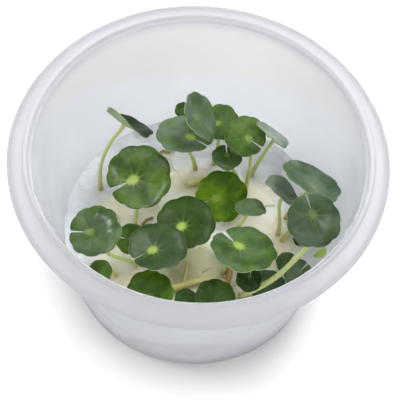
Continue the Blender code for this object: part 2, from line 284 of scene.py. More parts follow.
# %% [markdown]
# The cup is one thin moulded shell, round about its axis. A moulder draws its half section first,
# and so does this cell: one corner is extruded from point to point along the section, and the line
# is spun round the axis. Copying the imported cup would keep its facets, so it is turned again here
# with rounder bends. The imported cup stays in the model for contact, and this one is shown for it.

# %% The cup's sizes
cup_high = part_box("cup")[1]
CUP_HEIGHT = cup_high.z
RIM_RADIUS = cup_high.x
FOOT_RADIUS = 0.0352
MOUTH_RADIUS = 0.0453
WALL = 0.0008
FLOOR_UNDER = 0.0008
FLOOR_TOP = 0.0016
HEEL_RADIUS = 0.0033
INNER_HEEL_RADIUS = 0.0025
INNER_HEEL_HEIGHT = 0.0041
WALL_HEIGHTS = (0.008, 0.015, 0.022, 0.030, 0.038, 0.046, 0.053)


def outer_radius(height):
    """Return the radius of the wall's outside at a height."""
    return FOOT_RADIUS + (MOUTH_RADIUS - FOOT_RADIUS) * height / CUP_HEIGHT


def inner_radius(height):
    """Return the radius of the wall's inside at a height."""
    return outer_radius(height) - WALL


def arc(centre_x, centre_z, radius_x, radius_z, start, end, steps):
    """Return points along part of an ellipse, with angles in degrees."""
    made = []
    for step in range(steps + 1):
        angle = math.radians(start + (end - start) * step / steps)
        made.append((centre_x + radius_x * math.cos(angle), centre_z + radius_z * math.sin(angle)))
    return made


print(f"cup {1000 * CUP_HEIGHT:.1f} mm high, rim {2000 * RIM_RADIUS:.1f} mm across")

# %% The cup's half section
heel_centre = outer_radius(HEEL_RADIUS) - HEEL_RADIUS
roll_top = CUP_HEIGHT - 0.0003
bead_outside = inner_radius(CUP_HEIGHT) + 0.0011
roll_width = RIM_RADIUS - bead_outside
section = [(0.0, FLOOR_UNDER), (heel_centre - 0.0034, FLOOR_UNDER), (heel_centre - 0.0028, 0.0005)]
section += arc(heel_centre - 0.0021, 0.0004, 0.0004, 0.0004, 180, 270, 3)
section += arc(heel_centre, HEEL_RADIUS, HEEL_RADIUS, HEEL_RADIUS, -90, -8, 8)
section += [(outer_radius(height), height) for height in WALL_HEIGHTS]
section += [(outer_radius(roll_top - 0.0018), roll_top - 0.0018)]
section += arc(bead_outside + 0.0006, roll_top - 0.0022, roll_width - 0.0014, 0.0014, 150, 0, 6)
section += [(RIM_RADIUS - 0.0008, CUP_HEIGHT - 0.0036)]
section += arc(RIM_RADIUS - 0.0004, CUP_HEIGHT - 0.0034, 0.0004, 0.0004, -150, 0, 4)
section += arc(bead_outside, roll_top - 0.0022, roll_width, 0.0022, 0, 84, 8)
section += arc(bead_outside - 0.0003, CUP_HEIGHT - 0.0004, 0.0006, 0.0004, 30, 90, 3)
section += arc(inner_radius(CUP_HEIGHT) + 0.0006, CUP_HEIGHT - 0.0008, 0.0006, 0.0008, 95, 180, 5)
section += [(inner_radius(height), height) for height in reversed(WALL_HEIGHTS)]
section += arc(heel_centre, INNER_HEEL_HEIGHT, INNER_HEEL_RADIUS, INNER_HEEL_RADIUS, 0, -90, 6)
section += [(0.0, FLOOR_TOP)]
print("corners in the half section:", len(section))

# %% Turning a half section
def turned(name, corners, steps):
    """Extrude one corner along a half section, then spin the line about the axis."""
    bpy.ops.object.select_all(action="DESELECT")
    bpy.ops.mesh.primitive_plane_add(size=0.001)
    piece = bpy.context.object
    piece.name = name
    bpy.ops.object.mode_set(mode="EDIT")
    bpy.ops.mesh.select_all(action="SELECT")
    bpy.ops.mesh.merge(type="CENTER")
    bpy.ops.transform.translate(value=(corners[0][0], 0.0, corners[0][1]))
    for (x, z), (next_x, next_z) in zip(corners, corners[1:]):
        bpy.ops.mesh.extrude_region_move(TRANSFORM_OT_translate={"value": (next_x - x, 0.0, next_z - z)})
    bpy.ops.mesh.select_all(action="SELECT")
    bpy.ops.mesh.spin(steps=steps, angle=math.tau, center=(0.0, 0.0, 0.0), axis=(0.0, 0.0, 1.0))
    bpy.ops.mesh.select_all(action="SELECT")
    bpy.ops.mesh.remove_doubles(threshold=0.00002)
    bpy.ops.mesh.normals_make_consistent(inside=False)
    bpy.ops.object.mode_set(mode="OBJECT")
    bpy.ops.object.shade_smooth_by_angle(angle=math.radians(40))
    return piece


cup = turned("cup_shell", section, 144)
print("cup_shell:", len(cup.data.polygons), "faces")

# %% [markdown]
# The plastic is thin natural polypropylene. It is milky: light comes through, but what is behind it
# is blurred. One Principled shader does that, with part of the light passing and a rough surface.
# A slow noise makes the wall's thickness look uneven, as it is on a moulded cup. The far side of the
# wall is whiter toward the top. Below a line that sinks toward the back it is a bluer grey, which is
# painted shade for the cup's own shadow on the table seen through the plastic. The rim is painted a
# little greyer, as painted shade that tones down the light on its upturned top. Faint pale streaks near
# the foot are painted highlights, and soft waves in the surface bend the light.

# %% Cup plastic
finish, tree, shader = new_material("milky polypropylene")
place = object_place(tree)
clouds = speckle(tree, place, 45.0, 3.0)
height = axes(tree, place)["Z"]
# Both tones keep the slow noise of uneven thickness. The bluer one is painted shade for the cup's own
# shadow on the table, seen through the wall. The plainer one is the lit wall above it, and the border
# between them is tilted.
uneven_shaded_tone = mix_colours(tree, ramp(tree, clouds, 0.3, 0.7), colour(238, 240, 246), colour(243, 245, 249))
uneven_lit_tone = mix_colours(tree, ramp(tree, clouds, 0.3, 0.7), colour(238, 238, 238), colour(242, 242, 241))
shade_border = math_node(tree, "MULTIPLY_ADD", axes(tree, place)["Y"], 0.49, height)
shade = mix_colours(tree, ramp(tree, shade_border, 0.0560, 0.0620), uneven_shaded_tone, uneven_lit_tone)
# Painted shade: from just under the rim upward, the plastic is painted greyer to tone down the light that
# its upturned top catches.
shade = mix_colours(tree, ramp(tree, height, 0.0545, 0.0585), shade, colour(220, 221, 225))
# Painted highlights: thin pale streaks near the foot, painted white into the colour.
highlight_lines = speckle(tree, stretched(tree, place, (1.0, 1.0, 2.6)), 48.0, 1.0)
highlight_lines = math_node(tree, "ABSOLUTE", math_node(tree, "SUBTRACT", highlight_lines, 0.5))
streaks = ramp(tree, highlight_lines, 0.0, 0.022, 0.55, 0.0)
streaks = math_node(tree, "MULTIPLY", streaks, ramp(tree, height, 0.016, 0.024, 1.0, 0.0))
shade = mix_colours(tree, streaks, shade, colour(255, 255, 255))
tree.links.new(shade, shader.inputs["Base Color"])
rough = ramp(tree, speckle(tree, place, 160.0, 3.0), 0.3, 0.7, 0.50, 0.58)
tree.links.new(rough, shader.inputs["Roughness"])
waves = speckle(tree, place, 95.0, 1.0)
tree.links.new(bump(tree, clouds, 0.0004, 0.30, bump(tree, waves, 0.0012, 0.25)), shader.inputs["Normal"])
shader.inputs["Transmission Weight"].default_value = 0.78
shader.inputs["IOR"].default_value = 1.49
shader.inputs["Specular IOR Level"].default_value = 0.5
cup.data.materials.append(finish)
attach(cup, "root")
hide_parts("cup")

# %% [markdown]
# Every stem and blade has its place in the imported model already. A stem there is a tube of short
# straight lengths, so the centres of its rings of corners give its path. An end cap is a flat patch
# whose corners all lie on one circle. The walk starts at the lower cap, or at the left one where both
# lie level, and goes from ring to ring along the tube's edges.

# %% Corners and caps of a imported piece
def merged(node):
    """Return a CAD node's mesh with its loose triangles joined."""
    joined = bmesh.new()
    joined.from_mesh(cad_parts[node].data)
    bmesh.ops.remove_doubles(joined, verts=joined.verts, dist=1e-6)
    bmesh.ops.recalc_face_normals(joined, faces=joined.faces)
    joined.verts.index_update()
    return joined


def flat_patch(start):
    """Return the corners of the flat patch of triangles round one triangle."""
    patch = {start}
    border = [start]
    while border:
        face = border.pop()
        for side in face.edges:
            for other in side.link_faces:
                if other not in patch and other.normal.dot(start.normal) > 0.9999:
                    patch.add(other)
                    border.append(other)
    return {corner for face in patch for corner in face.verts}


def middle(corners):
    """Return the mean place of some corners, and how far they lie from it on average."""
    ordered = sorted(corners, key=lambda corner: corner.index)
    centre = sum((corner.co for corner in ordered), Vector()) / len(ordered)
    return centre, sum((corner.co - centre).length for corner in ordered) / len(ordered)


# %% Reading a stem's path
def stem_path(node):
    """Return the centres and the radii of a stem's rings, from its lower end up."""
    joined = merged(node)
    caps = []
    for face in joined.faces:
        corners = flat_patch(face)
        centre, radius = middle(corners)
        reaches = [(corner.co - centre).length for corner in corners]
        if len(corners) == 6 and max(reaches) < 1.03 * min(reaches):
            caps.append((round(centre.z, 5), round(centre.x, 5), corners))
    caps.sort(key=lambda cap: cap[:2])
    ring = caps[0][-1]
    walked = set()
    path = []
    while ring:
        path.append(middle(ring))
        walked |= ring
        ring = {side.other_vert(corner) for corner in ring for side in corner.link_edges} - walked
    path[-1] = middle(caps[-1][-1])
    joined.free()
    return path


stem_names = sorted(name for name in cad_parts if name.startswith(("petiole_", "runner_")))
paths = {name: stem_path(name) for name in stem_names}
print("rings in the stems:", sorted({len(path) for path in paths.values()}))

# %% [markdown]
# The gel is a stiff clear jelly with a beige tint, poured in warm. It keeps a raised edge where it
# wet the wall, and its surface is uneven where the plant's feet were pressed in. It is turned like
# the cup, with many rings, and then its top corners are moved up and down by a smooth noise. Round
# each foot and along the low stems, the gel is darkened, partly as a stain and partly as painted shade
# for the plants' shadow, so each corner also gets a number for how near a stem is.

# %% The gel's half section
GAP = 0.0003
GEL_TOP = 0.0200
WETTED = 0.0006
RINGS = 34
gel_edge = inner_radius(GEL_TOP + WETTED) - GAP
heel_inside = INNER_HEEL_RADIUS - GAP
gel_section = [(0.0, FLOOR_TOP + GAP)]
gel_section += arc(heel_centre, INNER_HEEL_HEIGHT, heel_inside, heel_inside, -90, -6, 5)
gel_section += [(inner_radius(height) - GAP, height) for height in (0.008, 0.014)]
gel_section += [(gel_edge, GEL_TOP + WETTED), (gel_edge - 0.0005, GEL_TOP + 0.00035)]
gel_section += [(gel_edge - 0.0013, GEL_TOP + 0.0001)]
gel_section += [(0.955 * gel_edge * (RINGS - ring) / RINGS, GEL_TOP) for ring in range(RINGS + 1)]
gel = turned("gel_disc", gel_section, 160)
print("gel_disc:", len(gel.data.polygons), "faces")

# %% The gel's uneven top
LUMPS = 0.00022
FOOT_STAIN_AND_SHADE = 0.0022
STEM_STAIN_AND_SHADE = 0.0038
feet = [path[0][0] for name, path in paths.items() if name.startswith("petiole")]
lying = [point for point, width in paths["runner_front"] + paths["runner_back"] + paths["runner_right"]]
lying = [point for point in lying if point.z < GEL_TOP + 0.004]
# Each corner's number is partly a stain and partly painted shade for the plants' shadow on the gel.
stain_and_shade = []
for corner in gel.data.vertices:
    near_foot = min((point - corner.co).length for point in feet) / FOOT_STAIN_AND_SHADE
    near_stem = min((point - corner.co).length for point in lying) / STEM_STAIN_AND_SHADE
    stain_and_shade.append(max(0.5 * math.exp(-(near_foot**2)), math.exp(-(near_stem**2))))
    if corner.co.z > GEL_TOP - 0.0001:
        calm = 1.0 if corner.co.xy.length < 0.9 * gel_edge else 0.3
        lumps = noise.noise(corner.co * 160.0) + 0.5 * noise.noise(corner.co * 420.0)
        corner.co.z += LUMPS * calm * (lumps - 0.7)
gel.data.attributes.new("stain_and_shade", "FLOAT", "POINT").data.foreach_set("value", stain_and_shade)
print("stain up to", round(max(stain_and_shade), 2))

# %% [markdown]
# The gel is cool and pale near the wall and warmer in the middle, where the plants stand. A noise
# moves the border between the two, so that it isn't a plain ring. Fine folds run through it where it
# set unevenly. Round the stems it is darkened, partly as a stain and partly as painted shade, and one
# patch at the front is darkened as painted shade under the leaves. It lets only a little light
# through, so a small share of transmission is enough.

# %% Gel material
def own_value(tree, name):
    """Read a number that the piece carries on its corners."""
    return add_node(tree, "ShaderNodeAttribute", attribute_name=name).outputs["Fac"]


finish, tree, shader = new_material("nutrient gel")
place = object_place(tree)
drift = ramp(tree, speckle(tree, place, 60.0), 0.3, 0.7, -0.006, 0.006)
reach = math_node(tree, "ADD", reach_of(tree, place, (1.0, 1.0, 0.0)), drift)
reach = math_node(tree, "MULTIPLY_ADD", axes(tree, place)["Y"], 0.30, reach)
warm = ramp(tree, reach, 0.020, 0.034, 1.0, 0.0)
clouds = ramp(tree, speckle(tree, place, 110.0, 2.5), 0.34, 0.66)
cool_shade = mix_colours(tree, clouds, colour(204, 207, 212), colour(226, 228, 234))
warm_shade = mix_colours(tree, clouds, colour(248, 240, 214), colour(255, 255, 250))
shade = mix_colours(tree, warm, cool_shade, warm_shade)
ridge = math_node(tree, "SUBTRACT", speckle(tree, place, 95.0, 2.0, 0.45), 0.5)
crease = ramp(tree, math_node(tree, "ABSOLUTE", ridge), 0.0, 0.035, 1.0, 0.0)
folded = ramp(tree, speckle(tree, place, 50.0, 1.0), 0.4, 0.6)
fold_lines = math_node(tree, "MULTIPLY", crease, folded)
shade = mix_colours(tree, math_node(tree, "MULTIPLY", fold_lines, 0.35), shade, colour(255, 255, 253))
# Darker olive round the feet and the low stems: partly a stain, partly painted shade.
stained_and_shaded = math_node(tree, "MULTIPLY", own_value(tree, "stain_and_shade"), 0.7)
shade = mix_colours(tree, stained_and_shaded, shade, colour(168, 160, 104))
# Painted shade: one patch at the front of the gel, under the leaves, is darkened to grey olive.
from_shade_patch = reach_of(tree, place, (0.55, 1.0, 0.0), (-0.0022, 0.0132, 0.0))
patch = math_node(tree, "MULTIPLY_ADD", drift, 0.35, from_shade_patch)
shade = mix_colours(tree, ramp(tree, patch, 0.0030, 0.0080, 0.85, 0.0), shade, colour(178, 176, 134))
tree.links.new(shade, shader.inputs["Base Color"])
tree.links.new(ramp(tree, clouds, 0.0, 1.0, 0.26, 0.40), shader.inputs["Roughness"])
relief = math_node(tree, "MULTIPLY_ADD", fold_lines, 0.3, speckle(tree, place, 200.0))
tree.links.new(bump(tree, relief, 0.0005, 0.4), shader.inputs["Normal"])
shader.inputs["Transmission Weight"].default_value = 0.10
shader.inputs["IOR"].default_value = 1.34
gel.data.materials.append(finish)
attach(gel, "root")
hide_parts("gel")

# %% [markdown]
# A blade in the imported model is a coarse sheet. Its petiole meets it squarely, so the petiole's last
# length gives the blade's upright. The corner at the bottom of the notch gives its direction and its
# size. Dish, droop and ripple follow one height formula, and the fold is what is left over.

# %% The height of a blade
LEAF_COUNT = 26
LEAF_RADIUS = 0.0093
LEAF_THICKNESS = 0.00035
NOTCH_DEPTH = 0.14
DISH = 0.20
DROOP = 0.16
RIPPLE = 0.05
FOLD_WIDTH = 0.1


def folded_share(y, radius):
    """Return how far a fold lifts a point that lies to one side, for a fold of one."""
    return math.hypot(y / radius, FOLD_WIDTH) - FOLD_WIDTH


def blade_height(x, y, radius, fold):
    """Return how far a blade's upper face stands above its middle."""
    reach = math.hypot(x, y) / radius
    ripple = RIPPLE * reach**2 * math.cos(3 * math.atan2(y, x) + radius / LEAF_RADIUS * math.tau)
    return radius * (DISH * reach**2 - DROOP * reach**4 + fold * folded_share(y, radius) + ripple)


def standing(origin, along, upright):
    """Return the pose of a blade from its origin, its direction and its upright."""
    turned_up = Matrix((along, upright.cross(along), upright)).transposed().to_4x4()
    return Matrix.Translation(origin) @ turned_up


# %% Reading a blade
def read_blade(number):
    """Return where a blade stands, its radius, its fold and its number of scallops."""
    path = paths[f"petiole_{number:02d}"]
    upright = (path[-1][0] - path[-2][0]).normalized()
    joined = merged(f"leaf_{number:02d}")
    top = path[-1][0] + upright * (LEAF_THICKNESS + GAP)
    origin = min((corner.co for corner in joined.verts), key=lambda point: (point - top).length).copy()
    near = []
    for corner in joined.verts:
        offset = corner.co - origin
        height = offset.dot(upright)
        flat = offset - upright * height
        if height > -0.5 * LEAF_THICKNESS and flat.length > 0.00005:
            near.append((flat.length, flat.copy()))
    reach, toward_notch = min(near, key=lambda pair: pair[0])
    radius = reach / NOTCH_DEPTH
    pose = standing(origin, -toward_notch.normalized(), upright)
    fold = read_fold(joined, pose, upright, radius)
    lobes = ((len(joined.verts) // 2 - 2) // 2 - 1) // 3
    joined.free()
    return pose, radius, fold, lobes


def read_fold(joined, pose, upright, radius):
    """Return the fold that best explains the heights that the plain formula leaves over."""
    to_flat = pose.inverted()
    weights = []
    for corner in joined.verts:
        local = to_flat @ corner.co
        if corner.normal.dot(upright) > 0.5 and 0.3 * radius < local.xy.length < 0.7 * radius:
            share = folded_share(local.y, radius)
            rest = (local.z - blade_height(local.x, local.y, radius, 0.0)) / radius
            weights.append((share * rest, share * share))
    return sum(pair[0] for pair in weights) / sum(pair[1] for pair in weights)


blades = {number: read_blade(number) for number in range(1, LEAF_COUNT + 1)}
for number, (pose, radius, fold, lobes) in blades.items():
    print(f"leaf {number}: {1000 * radius:.2f} mm, fold {fold:.2f}, {lobes} scallops")

# %% [markdown]
# A blade is nearly round, with shallow scallops and one deep notch where its petiole joins it. It is
# like a fan that is opened until its two ends almost meet. So a flat grid is added, and its rows are
# wrapped round the petiole's end: across the grid becomes round the blade, and up the grid becomes
# outward. The grid's own UV map stays on it, so that veins can be drawn along the rows later. The
# two leaf materials, which are made below, are on the sheet before it gets its thickness, because
# the thickness gives the second one to the lower face.

# %% The edge of a blade
BLADE_SHIFT = 0.18
SCALLOP = 0.07
QUILT = 0.007
CRINKLE = 0.02


def edge_reach(turn, radius, lobes, notch):
    """Return how far out the edge is, for a turn from -1 to 1 between the notch's sides."""
    angle = turn * (math.pi - notch)
    shift = BLADE_SHIFT * radius
    reach = shift * math.cos(angle) + math.sqrt(radius**2 - (shift * math.sin(angle)) ** 2)
    within = abs(math.sin(math.pi * lobes * (turn + 1) / 2))
    return reach * (1 - SCALLOP * (1 - within**0.6))


# %% Shaping one blade
AROUND = 72
OUTWARD = 10


def add_blade(name, pose, radius, fold, lobes, number, notch):
    """Wrap a grid into a scalloped blade, give it thickness and stand it in its place."""
    bpy.ops.object.select_all(action="DESELECT")
    bpy.ops.mesh.primitive_grid_add(x_subdivisions=AROUND, y_subdivisions=OUTWARD, size=2.0,
                                    calc_uvs=True)
    piece = bpy.context.object
    piece.name = name
    for corner in piece.data.vertices:
        turn, outward = corner.co.x, (corner.co.y + 1) / 2
        opened = notch * min(max((outward - NOTCH_DEPTH) / 0.3, 0.0), 1.0)
        angle = turn * (math.pi - opened)
        reach = outward * edge_reach(turn, radius, lobes, notch)
        x, y = reach * math.cos(angle), reach * math.sin(angle)
        vein = abs(math.cos(math.pi * lobes * (turn + 1) / 2))
        quilt = QUILT * radius * outward * (1 - outward) * 4 * (vein - 0.6)
        uneven = noise.noise(Vector((x, y, 0.01 * number)) * 3.0 / radius)
        crinkle = CRINKLE * radius * outward**3 * uneven
        corner.co = (x, y, blade_height(x, y, radius, fold) + quilt + crinkle)
    bpy.ops.object.mode_set(mode="EDIT")
    bpy.ops.mesh.select_all(action="SELECT")
    bpy.ops.mesh.remove_doubles(threshold=0.00002)
    bpy.ops.mesh.normals_make_consistent(inside=False)
    bpy.ops.object.mode_set(mode="OBJECT")
    if sum(face.normal.z for face in piece.data.polygons) < 0:
        piece.data.flip_normals()
    for finish in (leaf_top, leaf_under):
        piece.data.materials.append(finish)
    wall = piece.modifiers.new("Thickness", "SOLIDIFY")
    wall.thickness = min(LEAF_THICKNESS, 0.05 * radius)
    wall.offset = -1.0
    wall.material_offset = 1
    wall.material_offset_rim = 1
    bpy.ops.object.modifier_apply(modifier=wall.name)
    rounder = piece.modifiers.new("Rounder", "SUBSURF")
    rounder.levels = 1
    rounder.render_levels = 1
    bpy.ops.object.modifier_apply(modifier=rounder.name)
    piece.data.transform(pose)
    bpy.ops.object.shade_smooth()
    return piece


# %% [markdown]
# Veins fan out from the petiole, one to each scallop, and fork on the way. The grid's UV map says how
# far round (U) and how far out (V) a point lies, so the distance to the nearest vein is plain
# arithmetic. Both faces of a blade need them, so the arithmetic goes into one node group.

# %% Vein group
def new_group(name, inputs, outputs):
    """Return an empty shader node group with its inputs and outputs."""
    group = bpy.data.node_groups.new(name, "ShaderNodeTree")
    for label, start in inputs:
        socket = group.interface.new_socket(label, in_out="INPUT", socket_type="NodeSocketFloat")
        socket.default_value = start
    for label in outputs:
        group.interface.new_socket(label, in_out="OUTPUT", socket_type="NodeSocketFloat")
    return group, group.nodes.new("NodeGroupInput"), group.nodes.new("NodeGroupOutput")


MASKS = ("Vein", "Fork", "Outward", "Across")
veins, given, result = new_group("leaf veins", [("Lobes", 9.0), ("Width", 0.02)], MASKS)
flat = axes(veins, add_node(veins, "ShaderNodeUVMap").outputs["UV"])
across, outward = flat["X"], flat["Y"]
in_lobe = math_node(veins, "FRACT", math_node(veins, "MULTIPLY", across, given.outputs["Lobes"]))
aside = math_node(veins, "ABSOLUTE", math_node(veins, "SUBTRACT", in_lobe, 0.5))
round_way = math_node(veins, "MULTIPLY", outward, math.tau)
lobe_width = math_node(veins, "DIVIDE", round_way, given.outputs["Lobes"])
distance = math_node(veins, "MULTIPLY", aside, lobe_width)
taper = math_node(veins, "SUBTRACT", 1.3, outward)
vein_width = math_node(veins, "MULTIPLY", given.outputs["Width"], taper)
line = math_node(veins, "SUBTRACT", 1.0, math_node(veins, "DIVIDE", distance, vein_width), clamp=True)
forked = math_node(veins, "MULTIPLY", math_node(veins, "SUBTRACT", outward, 0.45), 0.55)
fork_aside = math_node(veins, "ABSOLUTE", math_node(veins, "SUBTRACT", aside, forked))
fork_distance = math_node(veins, "MULTIPLY", fork_aside, lobe_width)
fork_width = math_node(veins, "MULTIPLY", vein_width, 0.8)
fork_line = math_node(veins, "DIVIDE", fork_distance, fork_width)
fork_line = math_node(veins, "SUBTRACT", 1.0, fork_line, clamp=True)
fork_line = math_node(veins, "MULTIPLY", fork_line, ramp(veins, outward, 0.43, 0.52))
for label, value in zip(MASKS, (line, fork_line, outward, across)):
    veins.links.new(value, result.inputs[label])


def vein_masks(tree, lobes, width):
    """Place the vein group in a material, and return its four outputs."""
    node = add_node(tree, "ShaderNodeGroup", node_tree=veins)
    tree.links.new(lobes, node.inputs["Lobes"])
    node.inputs["Width"].default_value = width
    return [node.outputs[label] for label in MASKS]


print("vein group gives:", MASKS)


# %% [markdown]
# The upper face is deep green and waxy. It is paler along the veins and round the petiole's end, and
# its green is uneven. Each blade carries a few numbers of its own: how young and bright its green is,
# how much pale grey dulls it, partly as waxy bloom and partly as a painted sheen, how clear its pale
# centre is, how dark it is, partly by its own tone and partly as painted shade, how wet it shines and
# how many scallops it has. One material for each blade would work too, but one that reads these
# numbers is easier to keep in tune.

# %% Upper face of a leaf
leaf_top, tree, shader = new_material("leaf upper face")
place = object_place(tree)
vein, fork, outward, across = vein_masks(tree, own_value(tree, "lobes"), 0.030)
young = own_value(tree, "young")
patches = ramp(tree, speckle(tree, place, 180.0, 4.0, 0.6), 0.35, 0.65)
cells = ramp(tree, speckle(tree, place, 1500.0, 3.0, 0.6), 0.3, 0.7)
deep = mix_colours(tree, young, colour(30, 58, 15), colour(54, 88, 0))
light = mix_colours(tree, young, colour(72, 104, 38), colour(96, 132, 4))
green = mix_colours(tree, patches, deep, light)
green = mix_colours(tree, math_node(tree, "MULTIPLY", cells, 0.12), green, colour(84, 112, 50))
# Darker blades: partly their own deeper tone, partly painted shade for blades that lie in shadow.
green = mix_colours(tree, own_value(tree, "dark_and_shaded"), green, colour(22, 44, 8))
lines = math_node(tree, "MAXIMUM", vein, math_node(tree, "MULTIPLY", fork, 0.6))
green = mix_colours(tree, math_node(tree, "MULTIPLY", lines, 0.07), green, colour(112, 146, 66))
# Grey-green pallor: partly waxy bloom, partly a painted sheen for the grazing reflection on tilted blades.
bloom_and_sheen_mask = ramp(tree, speckle(tree, place, 130.0), 0.36, 0.62, 0.25, 1.0)
bloom_and_sheen_mask = math_node(tree, "MULTIPLY", bloom_and_sheen_mask, own_value(tree, "bloom_and_sheen"))
green = mix_colours(tree, bloom_and_sheen_mask, green, colour(103, 120, 102))
turn = math_node(tree, "ABSOLUTE", math_node(tree, "MULTIPLY_ADD", across, 2.0, -1.0))
to_notch = math_node(tree, "MULTIPLY", math_node(tree, "POWER", turn, 3.0), 0.20)
near_centre = math_node(tree, "SUBTRACT", outward, to_notch)
spot = ramp(tree, near_centre, 0.03, 0.20, 0.9, 0.0)
rays_out = math_node(tree, "MULTIPLY", ramp(tree, near_centre, 0.08, 0.36, 0.35, 0.0), vein)
spot = math_node(tree, "MULTIPLY", math_node(tree, "MAXIMUM", spot, rays_out), own_value(tree, "spot"))
green = mix_colours(tree, spot, green, colour(160, 185, 86))
tree.links.new(green, shader.inputs["Base Color"])
rough = ramp(tree, speckle(tree, place, 500.0, 3.0), 0.3, 0.7, 0.36, 0.50)
tree.links.new(rough, shader.inputs["Roughness"])
relief = math_node(tree, "MULTIPLY_ADD", lines, -0.6, math_node(tree, "MULTIPLY", cells, 0.25))
tree.links.new(bump(tree, relief, 0.00012, 0.7), shader.inputs["Normal"])
wet = ramp(tree, speckle(tree, place, 200.0), 0.34, 0.56, 0.1, 1.0)
tree.links.new(math_node(tree, "MULTIPLY", wet, own_value(tree, "wet")), shader.inputs["Coat Weight"])
shader.inputs["Specular IOR Level"].default_value = 0.12
shader.inputs["Coat Roughness"].default_value = 0.20
print("leaf material:", leaf_top.name)

# %% [markdown]
# The underside has no wax. It is paler, duller and greyer, and its veins stand out more, so it is a
# second and plainer material that reads the same numbers.

# %% Underside of a leaf
leaf_under, tree, shader = new_material("leaf underside")
place = object_place(tree)
vein, fork, outward, across = vein_masks(tree, own_value(tree, "lobes"), 0.045)
patches = ramp(tree, speckle(tree, place, 220.0, 4.0, 0.6), 0.35, 0.65)
pale = mix_colours(tree, patches, colour(128, 150, 104), colour(150, 168, 124))
fresh_share = math_node(tree, "MULTIPLY", own_value(tree, "young"), 0.8)
pale = mix_colours(tree, fresh_share, pale, colour(150, 176, 60))
lines = math_node(tree, "MAXIMUM", vein, math_node(tree, "MULTIPLY", fork, 0.7))
pale = mix_colours(tree, math_node(tree, "MULTIPLY", lines, 0.6), pale, colour(176, 194, 140))
tree.links.new(pale, shader.inputs["Base Color"])
tree.links.new(ramp(tree, patches, 0.0, 1.0, 0.48, 0.60), shader.inputs["Roughness"])
tree.links.new(bump(tree, lines, 0.00015, 0.8), shader.inputs["Normal"])
print("leaf material:", leaf_under.name)

# %% [markdown]
# Every blade of the imported model now gets its finer one, in the same place and with the same size.
# The table holds what only the photograph shows: each blade's colours and how wide its notch is.

# %% Blades in their places
# Each row gives young, bloom and painted sheen, spot, darkness and painted shade, wet, and half of the
# notch's angle in degrees.
LOOK_NAMES = ("young", "bloom_and_sheen", "spot", "dark_and_shaded", "wet")
LOOKS = {
    1: (0.05, 0.05, 0.2, 0.65, 0.1, 4), 2: (0.30, 0.25, 0.0, 0.20, 0.1, 4),
    3: (1.00, 0.00, 0.5, 0.0, 0.0, 2), 4: (0.05, 0.00, 0.0, 0.60, 0.1, 4),
    5: (0.60, 0.00, 0.0, 0.40, 0.1, 4), 6: (0.20, 0.05, 0.0, 0.50, 0.1, 4),
    7: (0.90, 0.00, 0.3, 0.35, 0.1, 4), 8: (0.10, 0.15, 0.0, 0.60, 0.1, 4),
    9: (0.45, 0.10, 0.0, 0.08, 0.1, 4), 10: (0.50, 0.00, 1.0, 0.72, 0.05, 2),
    11: (0.10, 0.60, 0.2, 0.20, 0.2, 4), 12: (0.20, 0.10, 0.3, 0.50, 0.1, 4),
    13: (0.45, 0.00, 1.0, 0.18, 0.6, 5), 14: (0.05, 0.75, 0.0, 0.15, 0.1, 1),
    15: (0.25, 0.20, 0.9, 0.72, 0.12, 1), 16: (0.05, 0.95, 0.0, 0.05, 0.30, 1),
    17: (0.50, 0.15, 0.6, 0.25, 0.15, 3), 18: (0.25, 0.20, 0.4, 0.25, 1.0, 2),
    19: (0.45, 0.35, 1.0, 0.20, 0.1, 5), 20: (0.05, 0.75, 0.2, 0.36, 0.1, 1),
    21: (0.50, 0.20, 0.6, 0.10, 0.2, 3), 22: (0.20, 0.00, 0.0, 1.00, 0.0, 6),
    23: (0.70, 1.00, 1.0, 0.00, 0.1, 2), 24: (0.15, 0.50, 0.2, 0.68, 0.3, 2),
    25: (0.05, 1.00, 0.0, 0.00, 1.0, 1), 26: (0.10, 0.70, 0.3, 0.15, 0.15, 2),
}


def note(piece, name, value):
    """Store one number on every corner of a piece."""
    numbers = piece.data.attributes.new(name, "FLOAT", "POINT")
    numbers.data.foreach_set("value", [value] * len(piece.data.vertices))


def finish_blade(piece, lobes, look):
    """Give a blade the numbers that its materials read, and its body."""
    note(piece, "lobes", lobes)
    for name, value in zip(LOOK_NAMES, look):
        note(piece, name, value)
    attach(piece, "root")


for number, (pose, radius, fold, lobes) in blades.items():
    notch = math.radians(LOOKS[number][-1])
    piece = add_blade(f"blade_{number:02d}", pose, radius, fold, lobes, number, notch)
    finish_blade(piece, lobes, LOOKS[number])
    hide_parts(f"leaf_{number:02d}")
print("blades:", len(blades))

# %% [markdown]
# A petiole is a soft round stalk. It widens a little where it leaves the creeping stem and again
# where the veins spread into the blade. A path curve with a round bevel makes it: its points are the
# centres read above, its first and last points are moved on into the gel and the blade, and each
# point has its own radius. The curve starts with five points, so a shorter stem gets one more
# between each two.

# %% Shaping one stem
def with_halves(values):
    """Return a list with the middle of each two neighbours put between them."""
    halves = [(first + second) / 2 for first, second in zip(values, values[1:])]
    return [value for pair in zip(values, halves) for value in pair] + [values[-1]]


